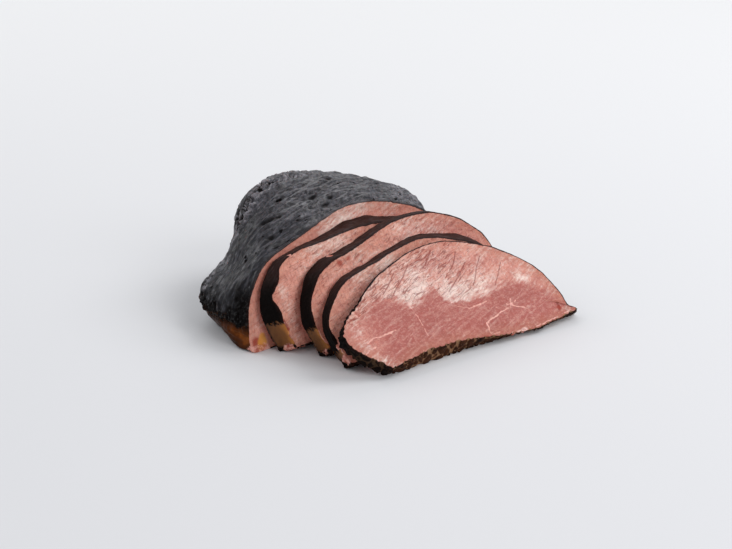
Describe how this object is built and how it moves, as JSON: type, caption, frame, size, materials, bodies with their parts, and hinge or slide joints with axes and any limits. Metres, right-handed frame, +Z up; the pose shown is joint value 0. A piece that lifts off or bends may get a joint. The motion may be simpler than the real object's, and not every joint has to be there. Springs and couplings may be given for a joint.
{
  "type": "smoked venison roast, part carved",
  "caption": "Dark smoked venison roast, half carved: the uncut piece rests on its flat underside and four slices lean on its cut.",
  "frame": {"origin": "on the surface that the meat lies on, under the middle of the whole part's bounding box", "axes": "+X along the cut from the near side of the roast to its far side, +Y from the outermost slice into the uncut piece, +Z up"},
  "size_m": [0.1598, 0.1538, 0.0623],
  "materials": {
    "smoked_rind": "charcoal smoked rind with a soft sheen, finely wrinkled and pitted; its cut face is like the slices",
    "carved_venison": "moist pink-brown cut meat with a thin dark rind round the edge"
  },
  "bodies": {
    "root": {"roast_piece": "smoked_rind", "slice_1": "carved_venison", "slice_2": "carved_venison", "slice_3": "carved_venison", "slice_4": "carved_venison"}
  },
  "joints": []
}
